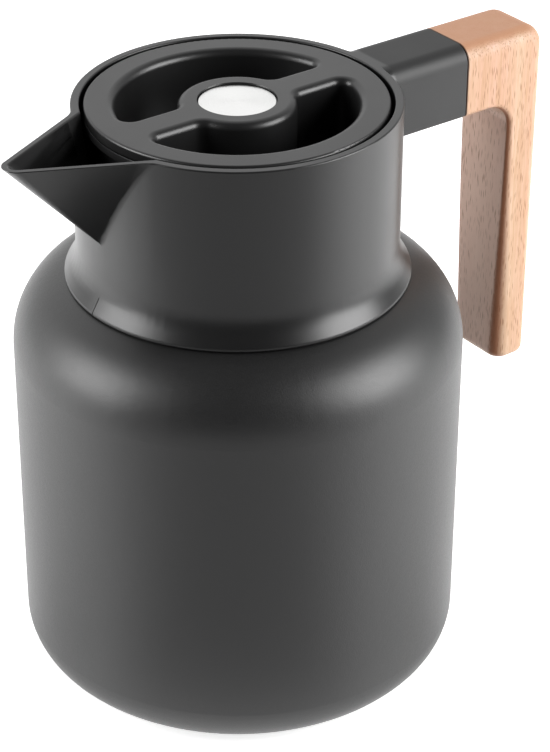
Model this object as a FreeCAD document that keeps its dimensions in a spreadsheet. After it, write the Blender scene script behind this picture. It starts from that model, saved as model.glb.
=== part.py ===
"""Vacuum jug with a pouring collar, a beech handle and a turn-to-pour stopper.

Millimetres. The jug stands on the XY plane with its axis on Z, the spout
points along -X and the handle along +X.
"""
import FreeCAD
import Part
import Sketcher
import math
import os
import re

# Driving dimensions, in millimetres and degrees
SIZES = {
    # Outer shell
    "body_radius": 65.0,
    "shoulder_height": 126.4,
    "shoulder_radius": 22.0,
    "foot_radius": 14.0,
    "foot_lip": 4.0,
    "foot_lift": 0.8,
    "shell_wall": 0.8,
    # Neck and vacuum jacket
    "neck_setback": 9.5,
    "neck_rise": 15.6,
    "neck_bend": 1.5,
    "vacuum_gap": 3.5,
    "neck_gap": 2.5,
    "flask_wall": 0.7,
    "flask_foot": 12.0,
    # Base
    "pan_wall": 0.8,
    "pan_rise": 2.6,
    "pan_margin": 0.5,
    "vent_radius": 1.5,
    "bead_radius": 3.2,
    "bead_height": 1.2,
    "bead_room": 0.6,
    "getter_inner": 4.0,
    "getter_width": 5.0,
    "getter_height": 1.6,
    "cap_clearance": 0.3,
    "pad_margin": 3.0,
    "pad_recess": 1.2,
    "ring_clearance": 0.1,
    # Collar
    "shoulder_step": 19.0,
    "collar_height": 51.6,
    "collar_wall": 2.5,
    "flare_reach": 3.5,
    "flare_lift": 0.5,
    "flare_lip": 0.9,
    "flare_rise": 5.6,
    "flare_round": 13.0,
    "flare_undercut": 0.7,
    "shelf_height": 8.0,
    "gasket_thickness": 1.6,
    # Spout
    "spout_reach": 34.7,
    "spout_half_angle": 26.5,
    "spout_tip": 4.5,
    "spout_wall": 1.9,
    "spout_depth": 32.0,
    "spout_sink": 1.0,
    "spout_blend": 16.0,
    "spout_blend_angle": 32.0,
    "spout_root_round": 2.0,
    # Handle
    "arm_length": 28.05,
    "arm_width": 22.2,
    "arm_height": 22.0,
    "arm_top_round": 5.0,
    "arm_low_round": 1.75,
    "seam_gap": 0.12,
    "grip_setback": 17.35,
    "grip_thickness": 12.9,
    "grip_length": 110.7,
    "grip_edge_round": 4.8,
    "grip_end_round": 2.6,
    "grip_outer_corner": 6.0,
    "grip_inner_corner": 7.5,
    "tenon_width": 13.0,
    "tenon_height": 11.0,
    "tenon_length": 15.0,
    "tenon_clearance": 0.2,
    "screw_radius": 1.75,
    "screw_head_radius": 3.0,
    "screw_head_height": 2.2,
    "screw_sink": 3.0,
    "screw_spacing": 7.6,
    "screw_from_seam": 7.0,
    "screw_bite": 7.0,
    "screw_clearance": 0.1,
    # Ring nut in the neck
    "ring_wall": 2.4,
    "ring_skirt": 2.0,
    "ring_flange": 2.2,
    "ring_thread_wall": 1.6,
    "ring_thread_length": 20.0,
    "ring_fit": 0.4,
    "neck_gasket_height": 1.2,
    # Stopper
    "lid_gap": 1.1,
    "cover_overhang": 6.0,
    "sleeve_wall": 2.4,
    "turn_gap": 0.3,
    "turn_side_gap": 0.4,
    "stopper_flange": 2.3,
    "cover_gap": 0.5,
    "deck_thickness": 2.2,
    "guide_radius": 13.5,
    "guide_length": 20.0,
    "thread_gap": 0.7,
    "tube_wall": 3.0,
    "tube_length": 27.0,
    "tube_flange_width": 4.5,
    "tube_flange_height": 1.8,
    "seat_width": 4.8,
    "seat_height": 2.5,
    "pour_gap": 6.5,
    "window_margin": 0.5,
    "window_width": 24.0,
    "gasket_height": 1.4,
    "gasket_margin": 0.3,
    "seat_gap": 0.2,
    # Turn grip
    "cover_thickness": 2.8,
    "cover_round": 0.8,
    "cup_floor": 2.0,
    "cup_wall": 1.65,
    "hub_radius": 15.6,
    "bar_width": 9.4,
    "hub_blend": 5.0,
    "well_corner": 4.0,
    "well_edge_round": 1.3,
    "disc_radius": 10.9,
    "disc_thickness": 0.8,
    "disc_recess": 0.6,
    "disc_gap": 0.25,
    "spindle_radius": 8.0,
    # Drive
    "drive_flange_radius": 10.4,
    "drive_flange_height": 2.5,
    "drive_rod_radius": 4.0,
    "drive_rod_length": 15.0,
    "grip_screw_radius": 2.0,
    "grip_screw_head": 3.8,
    "grip_screw_head_height": 2.6,
    "grip_screw_bite": 8.0,
    "grip_screw_depth": 9.0,
    "seal_depth": 0.9,
    "seal_width": 1.6,
    "seal_gap": 0.1,
    # Valve
    "stem_side": 13.0,
    "stem_gap": 0.25,
    "stem_drop": 2.0,
    "stem_bore_gap": 0.4,
    "stem_base_radius": 9.0,
    "stem_base_height": 5.0,
    "stem_floor": 9.0,
    "plug_clearance": 0.8,
    "plug_height": 12.0,
    "plug_wall": 2.5,
    "plug_cap_height": 2.0,
    "plug_cap_round": 1.5,
    "valve_seal_height": 1.6,
    "valve_seal_proud": 0.8,
    "valve_seal_overlap": 1.5,
    "valve_seal_margin": 0.7,
    "foam_gap": 0.2,
    "foam_hole": 5.0,
    "valve_screw_radius": 1.75,
    "valve_screw_head": 3.5,
    "valve_screw_head_height": 2.2,
    "valve_screw_bite": 6.0,
}

# Levels and radii that follow from the driving dimensions
DERIVED = {
    "collar_radius": "body_radius - shoulder_step",
    "cavity_radius": "collar_radius - collar_wall",
    "rim_height": "shoulder_height + collar_height",
    "shell_inner": "body_radius - shell_wall",
    "base_opening": "body_radius - foot_radius - foot_lip",
    "pan_seat": "foot_lift + shell_wall",
    "cap_radius": "base_opening - cap_clearance",
    "pad_seat": "foot_lift + pad_recess",
    "pad_radius": "cap_radius - pad_margin",
    "pan_low": "pan_seat + pan_rise",
    "pan_top": "pan_low + pan_wall",
    "flask_base": "pan_top + vacuum_gap",
    "flask_outer": "shell_inner - vacuum_gap",
    "flask_inner": "flask_outer - flask_wall",
    "flask_shoulder": "shoulder_height - shell_wall - vacuum_gap",
    "neck_radius": "collar_radius - neck_setback",
    "neck_inner": "neck_radius - shell_wall",
    "neck_top": "shoulder_height + neck_rise",
    "flask_neck_outer": "neck_inner - neck_gap",
    "flask_neck_inner": "flask_neck_outer - flask_wall",
    "lip_top": "neck_top + flask_wall",
    "ring_under": "lip_top + neck_gasket_height",
    "ring_top": "ring_under + ring_wall",
    "ring_skirt_inner": "neck_radius + ring_fit",
    "ring_skirt_outer": "ring_skirt_inner + ring_skirt",
    "ring_thread_outer": "flask_neck_inner - ring_fit",
    "ring_bore": "ring_thread_outer - ring_thread_wall",
    "collar_foot": "shoulder_height + gasket_thickness",
    "shelf_top": "collar_foot + shelf_height",
    "shelf_bore": "ring_skirt_outer + ring_fit",
    "flare_radius": "collar_radius + flare_reach",
    "shoulder_land": "body_radius - shoulder_radius",
    "shoulder_at_flare": "shoulder_height - shoulder_radius"
                         " + sqrt(shoulder_radius ^ 2 - (flare_radius - shoulder_land) ^ 2)",
    "flare_low": "shoulder_at_flare + flare_lift",
    "gasket_seat": "ring_top + seat_gap",
    "tube_flange_low": "gasket_seat + gasket_height",
    "tube_flange_top": "tube_flange_low + tube_flange_height",
    "tube_radius": "ring_bore - thread_gap",
    "tube_inner": "tube_radius - tube_wall",
    "seat_bore": "tube_inner - seat_width",
    "seat_low": "tube_flange_low - tube_length",
    "deck_low": "tube_flange_top + pour_gap",
    "deck_top": "deck_low + deck_thickness",
    "cup_low": "deck_top + turn_gap",
    "well_floor": "cup_low + cup_floor",
    "lid_radius": "cavity_radius - lid_gap",
    "cup_radius": "lid_radius - cover_overhang",
    "well_radius": "cup_radius - cup_wall",
    "sleeve_inner": "cup_radius + turn_side_gap",
    "sleeve_outer": "sleeve_inner + sleeve_wall",
    "cover_low": "rim_height - cover_thickness",
    "flange_top": "cover_low - cover_gap",
    "flange_low": "flange_top - stopper_flange",
    "drive_top": "deck_low - turn_gap",
    "drive_low": "drive_top - drive_flange_height",
    "guide_top": "drive_low - turn_gap",
    "guide_low": "deck_low - guide_length",
    "disc_seat": "rim_height - disc_recess - disc_thickness",
    "screw_seat": "disc_seat - grip_screw_depth",
    "stem_top": "guide_top - stem_drop",
    "plug_top": "seat_low - seat_gap - valve_seal_proud",
    "plug_low": "plug_top - plug_height",
    "plug_radius": "tube_inner - plug_clearance",
    "plug_roof": "plug_top - plug_wall",
    "seam_x": "collar_radius + arm_length",
    "arm_low": "rim_height - arm_height",
    "grip_in": "seam_x + grip_setback",
    "grip_out": "grip_in + grip_thickness",
    "grip_low": "rim_height - grip_length",
    "tenon_mid": "rim_height - arm_height / 2",
    "screw_x": "seam_x + screw_from_seam",
    "spout_apex": "-(collar_radius + spout_reach)",
    "spout_root": "-(collar_radius - spout_sink)",
    "spout_slope": "tan(spout_half_angle)",
    "blend_x": "-(collar_radius - sin(spout_blend_angle) * spout_slope * (collar_radius + spout_reach))"
               " / (cos(spout_blend_angle) - sin(spout_blend_angle) * spout_slope)",
    "blend_y": "(blend_x - spout_apex) * spout_slope",
    "blend_end_x": "spout_root * cos(spout_blend_angle)",
    "blend_end_y": "-spout_root * sin(spout_blend_angle)",
    "trough_shift": "spout_wall / sin(spout_half_angle)",
    "trough_back": "-cavity_radius / 2",
    "trough_half": "(trough_back - spout_apex - trough_shift) * spout_slope",
    "drive_room": "drive_flange_radius + 2 * turn_gap",
    "spindle_bore": "spindle_radius + turn_gap",
    "tube_flange_radius": "tube_radius + tube_flange_width",
    "seal_inner": "spindle_bore",
    "seal_outer": "seal_inner + seal_width",
    "valve_seal_inner": "seat_bore - valve_seal_overlap",
    "valve_seal_outer": "plug_radius - valve_seal_margin",
    "valve_seal_low": "plug_top + valve_seal_proud - valve_seal_height",
    "plug_inner": "plug_radius - plug_wall",
    "plug_cap_top": "plug_low + plug_cap_height",
    "screw_top": "tenon_mid - tenon_height / 2 + screw_bite",
    "screw_head_low": "arm_low + screw_sink - screw_head_height",
}

# Shares of the spout's full outline where its cone ends below and its trough above
KEEL_STUB = "0.03"
RIM_OVERRUN = "1.05"

WINDOW_COUNT = 4

# Least volume that a cut has to remove, in cubic millimetres
LEAST_CUT = 1.0

doc = FreeCAD.newDocument("vacuum_jug")
sheet = doc.addObject("Spreadsheet::Sheet", "Sizes")
for row, (alias, size) in enumerate(SIZES.items(), start=1):
    sheet.set(f"A{row}", alias)
    sheet.set(f"B{row}", str(size))
    sheet.setAlias(f"B{row}", alias)
doc.recompute()

PARTS = []


def full(text):
    """Writes a size expression out in cells of the sheet."""
    def swap(match):
        word = match.group(0)
        if word in DERIVED:
            return f"({full(DERIVED[word])})"
        return f"Sizes.{word}" if word in SIZES else word
    return re.sub(r"[a-z][a-z_]*", swap, text)


def value(text):
    """Number that a size expression has now."""
    return float(sheet.evalExpression(full(text)))


def new_body(label):
    """Empty body that becomes the node of that name."""
    body = doc.addObject("PartDesign::Body", label)
    PARTS.append(body)
    return body


def origin(body, role):
    """Plane or axis of the body's own origin."""
    return next(item for item in body.Origin.OriginFeatures if item.Role == role)


def new_sketch(body, name, plane, level):
    """Sketch on an origin plane, raised along the plane's normal by an expression."""
    sketch = body.newObject("Sketcher::SketchObject", name)
    sketch.AttachmentSupport = [(origin(body, plane), "")]
    sketch.MapMode = "FlatFace"
    if level:
        sketch.setExpression("AttachmentOffset.Base.z", full(level))
    return sketch


def bind(sketch, kind, *where_and_size):
    """Adds a constraint whose size is an expression."""
    *where, size = where_and_size
    index = sketch.addConstraint(Sketcher.Constraint(kind, *where, value(size)))
    sketch.setExpression(f"Constraints[{index}]", full(size))


def place(sketch, geometry, position, x, y):
    """Holds a point at two expressions, on an axis where one of them is zero."""
    axes = (("DistanceX", -2, x), ("DistanceY", -1, y))
    for kind, axis, size in axes:
        if size == "0":
            sketch.addConstraint(Sketcher.Constraint("PointOnObject", geometry, position, axis))
        else:
            bind(sketch, kind, -1, 1, geometry, position, size)


def outline(body, name, plane, corners, level=None):
    """Closed outline of straight sides, with an arc at each corner that has a radius.

    Each corner is (x, y) or (x, y, radius), and each of these is an expression.
    """
    sketch = new_sketch(body, name, plane, level)
    points = [FreeCAD.Vector(value(corner[0]), value(corner[1]), 0) for corner in corners]
    count = len(points)
    leave, arrive, arcs = [], [], {}
    for i, corner in enumerate(corners):
        here = points[i]
        if len(corner) == 2:
            leave.append(here)
            arrive.append(here)
            continue
        radius = value(corner[2])
        back = (points[i - 1] - here).normalize()
        ahead = (points[(i + 1) % count] - here).normalize()
        half = back.getAngle(ahead) / 2
        arrive.append(here + back * (radius / math.tan(half)))
        leave.append(here + ahead * (radius / math.tan(half)))
        centre = here + (back + ahead).normalize() * (radius / math.sin(half))
        arcs[i] = (centre, radius, back.cross(ahead).z < 0)
    sides = []
    for i in range(count):
        segment = Part.LineSegment(leave[i], arrive[(i + 1) % count])
        sides.append(sketch.addGeometry(segment))
    for i, corner in enumerate(corners):
        before, after = sides[i - 1], sides[i]
        if i not in arcs:
            sketch.addConstraint(Sketcher.Constraint("Coincident", before, 2, after, 1))
            place(sketch, after, 1, corner[0], corner[1])
            continue
        centre, radius, turns_left = arcs[i]
        first, last = (arrive[i], leave[i]) if turns_left else (leave[i], arrive[i])
        start = math.atan2(first.y - centre.y, first.x - centre.x)
        end = math.atan2(last.y - centre.y, last.x - centre.x)
        if end < start:
            end += 2 * math.pi
        circle = Part.Circle(centre, FreeCAD.Vector(0, 0, 1), radius)
        arc = sketch.addGeometry(Part.ArcOfCircle(circle, start, end))
        point = sketch.addGeometry(Part.Point(points[i]), True)
        near, far = (1, 2) if turns_left else (2, 1)
        sketch.addConstraint(Sketcher.Constraint("Tangent", before, 2, arc, near))
        sketch.addConstraint(Sketcher.Constraint("Tangent", arc, far, after, 1))
        bind(sketch, "Radius", arc, corner[2])
        place(sketch, point, 1, corner[0], corner[1])
        sketch.addConstraint(Sketcher.Constraint("PointOnObject", point, 1, before))
        sketch.addConstraint(Sketcher.Constraint("PointOnObject", point, 1, after))
    return sketch


def circles(body, name, plane, rings, level=None):
    """Sketch of whole circles, each (x, y, radius)."""
    sketch = new_sketch(body, name, plane, level)
    for x, y, radius in rings:
        middle = FreeCAD.Vector(value(x), value(y), 0)
        ring = sketch.addGeometry(Part.Circle(middle, FreeCAD.Vector(0, 0, 1), value(radius)))
        bind(sketch, "Radius", ring, radius)
        place(sketch, ring, 3, x, y)
    return sketch


def feature(body, kind, name, profile, **properties):
    """Adds a feature on a sketch; a property given as text is an expression."""
    made = body.newObject(f"PartDesign::{kind}", name)
    made.Profile = profile
    for key, setting in properties.items():
        if isinstance(setting, str):
            made.setExpression(key, full(setting))
        else:
            setattr(made, key, setting)
    return made


def turned(body, name, corners, kind="Revolution"):
    """Revolves an outline of (radius, height) corners about the jug's axis."""
    sketch = outline(body, f"{name}_profile", "XZ_Plane", corners)
    return feature(body, kind, name, sketch, ReferenceAxis=(origin(body, "Z_Axis"), [""]), Angle=360)


def rectangle(x_low, x_high, y_low, y_high):
    """Four corners of an upright rectangle."""
    return [(x_low, y_low), (x_high, y_low), (x_high, y_high), (x_low, y_high)]


def centred(width, middle, height):
    """Four corners of a rectangle centred on the first axis of its sketch."""
    return rectangle(f"-({width}) / 2", f"({width}) / 2",
                     f"{middle} - ({height}) / 2", f"{middle} + ({height}) / 2")


def rounded(body, name, base, radius, wanted):
    """Fillets the edges of a feature for which the test is true."""
    doc.recompute()
    names = [f"Edge{i}" for i, edge in enumerate(base.Shape.Edges, start=1) if wanted(edge)]
    fillet = body.newObject("PartDesign::Fillet", name)
    fillet.Base = (base, names)
    fillet.setExpression("Radius", full(radius))
    body.Tip = fillet
    return fillet


def same(a, b, slack=0.01):
    """True where two lengths agree."""
    return abs(a - b) < slack


def middle_of(edge):
    """Point half-way along an edge."""
    return edge.valueAt((edge.FirstParameter + edge.LastParameter) / 2)


def is_round(edge, radius):
    """True for an edge that lies on a cylinder round the jug's axis."""
    ends = (edge.FirstParameter, edge.LastParameter)
    spots = [edge.valueAt(end) for end in ends] + [middle_of(edge)]
    return all(same(math.hypot(spot.x, spot.y), radius) for spot in spots)


def is_level(edge, height):
    """True for an edge that lies flat at a height."""
    box = edge.BoundBox
    return same(box.ZMin, height) and same(box.ZMax, height)


def simple_turned(label, corners):
    """Node that is one revolved outline."""
    turned(new_body(label), label + "_turned", corners)


def build_shell():
    """Outer shell: foot, straight wall, round shoulder and neck, one even wall."""
    simple_turned("outer_shell", [
        ("base_opening", "foot_lift"),
        ("body_radius", "foot_lift", "foot_radius"),
        ("body_radius", "shoulder_height", "shoulder_radius"),
        ("neck_radius", "shoulder_height", "neck_bend"),
        ("neck_radius", "neck_top"),
        ("neck_inner", "neck_top"),
        ("neck_inner", "shoulder_height - shell_wall", "neck_bend + shell_wall"),
        ("shell_inner", "shoulder_height - shell_wall", "shoulder_radius - shell_wall"),
        ("shell_inner", "pan_seat", "foot_radius - shell_wall"),
        ("base_opening", "pan_seat"),
    ])


def build_flask():
    """Inner flask, hung from its lip on top of the shell's neck."""
    simple_turned("inner_flask", [
        ("0", "flask_base"),
        ("flask_outer", "flask_base", "flask_foot"),
        ("flask_outer", "flask_shoulder", "shoulder_radius - shell_wall - vacuum_gap"),
        ("flask_neck_outer", "flask_shoulder", "neck_bend + shell_wall + neck_gap"),
        ("flask_neck_outer", "neck_top"),
        ("neck_radius", "neck_top"),
        ("neck_radius", "lip_top"),
        ("flask_neck_inner", "lip_top"),
        ("flask_neck_inner", "flask_shoulder - flask_wall", "neck_bend + shell_wall + neck_gap + flask_wall"),
        ("flask_inner", "flask_shoulder - flask_wall",
         "shoulder_radius - shell_wall - vacuum_gap - flask_wall"),
        ("flask_inner", "flask_base + flask_wall", "flask_foot - flask_wall"),
        ("0", "flask_base + flask_wall"),
    ])


def build_base():
    """Pan that closes the jacket, its getter and seal, the cover and the foot pad."""
    simple_turned("base_pan", [
        ("vent_radius", "pan_low"),
        ("base_opening", "pan_low"),
        ("base_opening", "pan_seat"),
        ("base_opening + foot_lip - pan_margin", "pan_seat"),
        ("base_opening + foot_lip - pan_margin", "pan_seat + pan_wall"),
        ("base_opening + pan_wall", "pan_seat + pan_wall"),
        ("base_opening + pan_wall", "pan_top"),
        ("vent_radius", "pan_top"),
    ])
    simple_turned("getter", rectangle(
        "getter_inner", "getter_inner + getter_width", "pan_top", "pan_top + getter_height"))
    simple_turned("seal_bead", [
        ("0", "pan_low - bead_height"),
        ("bead_radius", "pan_low - bead_height", "bead_height / 2"),
        ("bead_radius", "pan_low"),
        ("vent_radius - ring_clearance", "pan_low"),
        ("vent_radius - ring_clearance", "pan_low + pan_wall / 2"),
        ("0", "pan_low + pan_wall / 2"),
    ])
    simple_turned("base_cap", [
        ("0", "pad_seat"),
        ("pad_radius", "pad_seat"),
        ("pad_radius", "foot_lift"),
        ("cap_radius", "foot_lift"),
        ("cap_radius", "pan_low"),
        ("bead_radius + bead_room", "pan_low"),
        ("bead_radius + bead_room", "pan_low - bead_height - ring_clearance"),
        ("0", "pan_low - bead_height - ring_clearance"),
    ])
    simple_turned("foot_pad", [
        ("0", "0"),
        ("pad_radius - ring_clearance", "0", "foot_lift / 2"),
        ("pad_radius - ring_clearance", "pad_seat"),
        ("0", "pad_seat"),
    ])


def shrunk(corners, root_x, scale):
    """Draws an outline in towards the point where the spout's keel starts."""
    drawn = []
    for corner in corners:
        new = [f"{root_x} + {scale} * ({corner[0]} - ({root_x}))", f"{scale} * ({corner[1]})"]
        if corner[1] == "0":
            new[1] = "0"
        drawn.append(tuple(new + [f"{scale} * ({size})" for size in corner[2:]]))
    return drawn


def spout_cone(body, name, kind, corners, root_x, scales):
    """Lofts an outline at the rim down to the foot of the keel, with flat sides."""
    sketches = []
    for end, scale in zip(("top", "foot"), scales):
        level = f"rim_height - spout_depth * (1 - {scale})"
        sketches.append(outline(body, f"{name}_{end}", "XY_Plane", shrunk(corners, root_x, scale), level))
    return feature(body, kind, name, sketches[0], Sections=[sketches[1]], Ruled=True)


def build_collar():
    """Collar with its flared foot, V spout and the handle's arm with its tenon."""
    body = new_body("collar")
    turned(body, "collar_wall_ring", [
        ("shelf_bore - ring_wall", "collar_foot"),
        ("cavity_radius", "collar_foot"),
        ("flare_radius - flare_undercut", "flare_low"),
        ("flare_radius", "flare_low"),
        ("flare_radius", "flare_low + flare_lip"),
        ("collar_radius", "flare_low + flare_lip + flare_rise", "flare_round"),
        ("collar_radius", "rim_height"),
        ("shelf_bore - ring_wall", "rim_height"),
    ])
    spout = spout_cone(body, "spout_outside", "AdditiveLoft", [
        ("spout_apex", "0", "spout_tip"),
        ("blend_x", "-blend_y", "spout_blend"),
        ("blend_end_x", "-blend_end_y"),
        ("blend_end_x + spout_wall", "0"),
        ("blend_end_x", "blend_end_y"),
        ("blend_x", "blend_y", "spout_blend"),
    ], "spout_root", ("1", KEEL_STUB))
    keel_foot = value("rim_height") - value("spout_depth")
    rounded(body, "spout_root_blend", spout, "spout_root_round", lambda edge: (
        edge.BoundBox.ZMin > keel_foot and not is_level(edge, value("rim_height"))
        and is_round(edge, value("collar_radius"))))
    arm = outline(body, "arm_section", "YZ_Plane", [
        ("-arm_width / 2", "arm_low", "arm_low_round"),
        ("arm_width / 2", "arm_low", "arm_low_round"),
        ("arm_width / 2", "rim_height", "arm_top_round"),
        ("-arm_width / 2", "rim_height", "arm_top_round"),
    ], level="shelf_bore")
    feature(body, "Pad", "arm", arm, Length="seam_x - shelf_bore")
    turned(body, "collar_cavity", [
        ("0", "collar_foot - collar_wall"),
        ("shelf_bore", "collar_foot - collar_wall"),
        ("shelf_bore", "shelf_top"),
        ("cavity_radius", "shelf_top"),
        ("cavity_radius", "rim_height + collar_wall"),
        ("0", "rim_height + collar_wall"),
    ], "Groove")
    trough_root = "spout_root + trough_shift"
    spout_cone(body, "spout_trough", "SubtractiveLoft", [
        ("spout_apex + trough_shift", "0", "spout_tip - spout_wall"),
        ("trough_back", "-trough_half"),
        ("trough_back", "trough_half"),
    ], trough_root, (RIM_OVERRUN, KEEL_STUB))
    tenon = outline(body, "tenon_section", "YZ_Plane",
                    centred("tenon_width", "tenon_mid", "tenon_height"), level="seam_x - collar_wall")
    feature(body, "Pad", "tenon", tenon, Length="tenon_length + collar_wall")
    holes = circles(body, "tenon_holes", "XY_Plane", [
        ("screw_x", "screw_spacing / 2", "screw_radius + screw_clearance"),
        ("screw_x", "-screw_spacing / 2", "screw_radius + screw_clearance"),
    ], level="tenon_mid - tenon_height / 2 - seam_gap")
    feature(body, "Pocket", "screw_bores", holes, Reversed=True,
            Length="screw_bite + seam_gap + screw_clearance")


def build_neck():
    """Ring nut that holds the collar down, and the gaskets at the neck."""
    simple_turned("neck_ring", [
        ("ring_bore", "ring_top"),
        ("ring_skirt_outer", "ring_top"),
        ("ring_skirt_outer", "shelf_top + ring_flange"),
        ("cavity_radius - ring_fit", "shelf_top + ring_flange"),
        ("cavity_radius - ring_fit", "shelf_top"),
        ("ring_skirt_inner", "shelf_top"),
        ("ring_skirt_inner", "ring_under"),
        ("ring_thread_outer", "ring_under"),
        ("ring_thread_outer", "ring_under - ring_thread_length"),
        ("ring_bore", "ring_under - ring_thread_length"),
    ])
    simple_turned("neck_gasket", rectangle(
        "flask_neck_inner + ring_fit", "neck_radius - ring_clearance", "lip_top", "ring_under"))
    simple_turned("collar_gasket", rectangle(
        "shelf_bore + ring_clearance", "cavity_radius - ring_fit", "shoulder_height", "collar_foot"))


def build_handle():
    """Beech grip with its mortise, and the screws that hold it on the tenon."""
    blank = doc.addObject("PartDesign::Body", "grip_blank")
    face = "seam_x + seam_gap"
    side = outline(blank, "grip_side", "XZ_Plane", [
        (face, "arm_low"),
        ("grip_in", "arm_low", "grip_inner_corner"),
        ("grip_in", "grip_low"),
        ("grip_out", "grip_low"),
        ("grip_out", "rim_height", "grip_outer_corner"),
        (face, "rim_height"),
    ], level="-arm_width / 2")
    feature(blank, "Pad", "grip_bar", side, Length="arm_width")
    mortise = outline(blank, "mortise_section", "YZ_Plane", centred(
        "tenon_width + 2 * tenon_clearance", "tenon_mid", "tenon_height + 2 * tenon_clearance"), level=face)
    feature(blank, "Pocket", "mortise", mortise, Length="tenon_length + tenon_clearance", Reversed=True)
    for name, radius, depth in (("shank_holes", "screw_radius", "arm_height / 2"),
                                ("head_holes", "screw_head_radius", "screw_sink")):
        holes = screw_pair(blank, name + "_plan", f"{radius} + screw_clearance", "arm_low")
        feature(blank, "Pocket", name, holes, Length=depth, Reversed=True)
    doc.recompute()
    long_edges = part_fillet("grip_long_edges", blank, grip_rounds(blank.Shape))
    end_round = value("grip_end_round")
    end = value("grip_low")
    loop = [(i, end_round, end_round) for i, edge in enumerate(long_edges.Shape.Edges, start=1)
            if is_level(edge, end)]
    PARTS.append(part_fillet("handle_grip", long_edges, loop))
    screws = new_body("handle_screws")
    heads = screw_pair(screws, "head_plan", "screw_head_radius", "screw_head_low")
    feature(screws, "Pad", "heads", heads, Length="screw_head_height")
    shanks = screw_pair(screws, "shank_plan", "screw_radius", "screw_head_low")
    feature(screws, "Pad", "shanks", shanks, Length="screw_top - screw_head_low")


def screw_pair(body, name, radius, level):
    """Two circles side by side under the handle's arm."""
    return circles(body, name, "XY_Plane", [
        ("screw_x", "screw_spacing / 2", radius), ("screw_x", "-screw_spacing / 2", radius)], level)


def part_fillet(label, base, edges):
    """Fillet with a radius of its own at each end of each edge."""
    fillet = doc.addObject("Part::Fillet", label)
    fillet.Base = base
    fillet.Edges = edges
    doc.recompute()
    return fillet


def grip_rounds(shape):
    """Edges along the grip: (number, first radius, last radius).

    The rounding is small under the arm and grows round the inner corner to
    the full round of the upright bar.
    """
    bar = value("grip_edge_round")
    under = value("arm_low_round")
    top = value("arm_top_round")
    side = value("arm_width") / 2
    seam = value("seam_x + seam_gap")
    middle = value("arm_low + arm_height / 2")
    rows = []
    for number, edge in enumerate(shape.Edges, start=1):
        box = edge.BoundBox
        on_side = same(box.YLength, 0) and same(abs(box.YMin), side)
        at_seam = same(box.XMin, seam) and same(box.XLength, 0)
        at_end = same(box.ZMin, value("grip_low")) and same(box.ZLength, 0)
        if not on_side or at_seam or at_end:
            continue
        level = top if box.ZMax > middle else under
        start = edge.tangentAt(edge.FirstParameter)
        stop = edge.tangentAt(edge.LastParameter)
        rows.append((number, level if abs(start.x) > abs(start.z) else bar,
                     level if abs(stop.x) > abs(stop.z) else bar))
    return rows


def build_stopper():
    """Fixed half of the stopper: cup, threaded tube, stem guide and gasket."""
    simple_turned("stopper_cup", [
        ("lid_radius", "flange_top"),
        ("lid_radius", "flange_low"),
        ("sleeve_outer", "flange_low"),
        ("sleeve_outer", "deck_low"),
        ("spindle_bore", "deck_low"),
        ("spindle_bore", "deck_top"),
        ("sleeve_inner", "deck_top"),
        ("sleeve_inner", "flange_top"),
    ])
    tube = new_body("stopper_tube")
    turned(tube, "tube_wall_ring", [
        ("tube_radius", "seat_low"),
        ("tube_radius", "tube_flange_low"),
        ("tube_flange_radius", "tube_flange_low"),
        ("tube_flange_radius", "tube_flange_top"),
        ("tube_radius", "tube_flange_top"),
        ("tube_radius", "deck_low"),
        ("tube_inner", "deck_low"),
        ("tube_inner", "seat_low + seat_height"),
        ("seat_bore", "seat_low + seat_height"),
        ("seat_bore", "seat_low"),
    ])
    window = outline(tube, "window_plan", "YZ_Plane", rectangle(
        "-window_width / 2", "window_width / 2",
        "tube_flange_top + window_margin", "deck_low - window_margin"))
    cut = feature(tube, "Pocket", "window", window, Length="tube_radius + tube_wall")
    windows = tube.newObject("PartDesign::PolarPattern", "windows")
    windows.Originals = [cut]
    windows.Axis = (origin(tube, "Z_Axis"), [""])
    windows.Angle = 360
    windows.Occurrences = WINDOW_COUNT
    tube.Tip = windows
    guide = new_body("stem_guide")
    turned(guide, "guide_wall", [
        ("0", "guide_low"),
        ("guide_radius", "guide_low"),
        ("guide_radius", "deck_low"),
        ("drive_room", "deck_low"),
        ("drive_room", "guide_top"),
        ("0", "guide_top"),
    ])
    square = outline(guide, "guide_square", "XY_Plane", centred(
        "stem_side + 2 * stem_gap", "0", "stem_side + 2 * stem_gap"), level="guide_top")
    feature(guide, "Pocket", "guide_bore", square, Length="guide_length")
    simple_turned("stopper_gasket", rectangle(
        "ring_bore + gasket_margin", "tube_flange_radius - gasket_margin", "gasket_seat", "tube_flange_low"))


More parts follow.
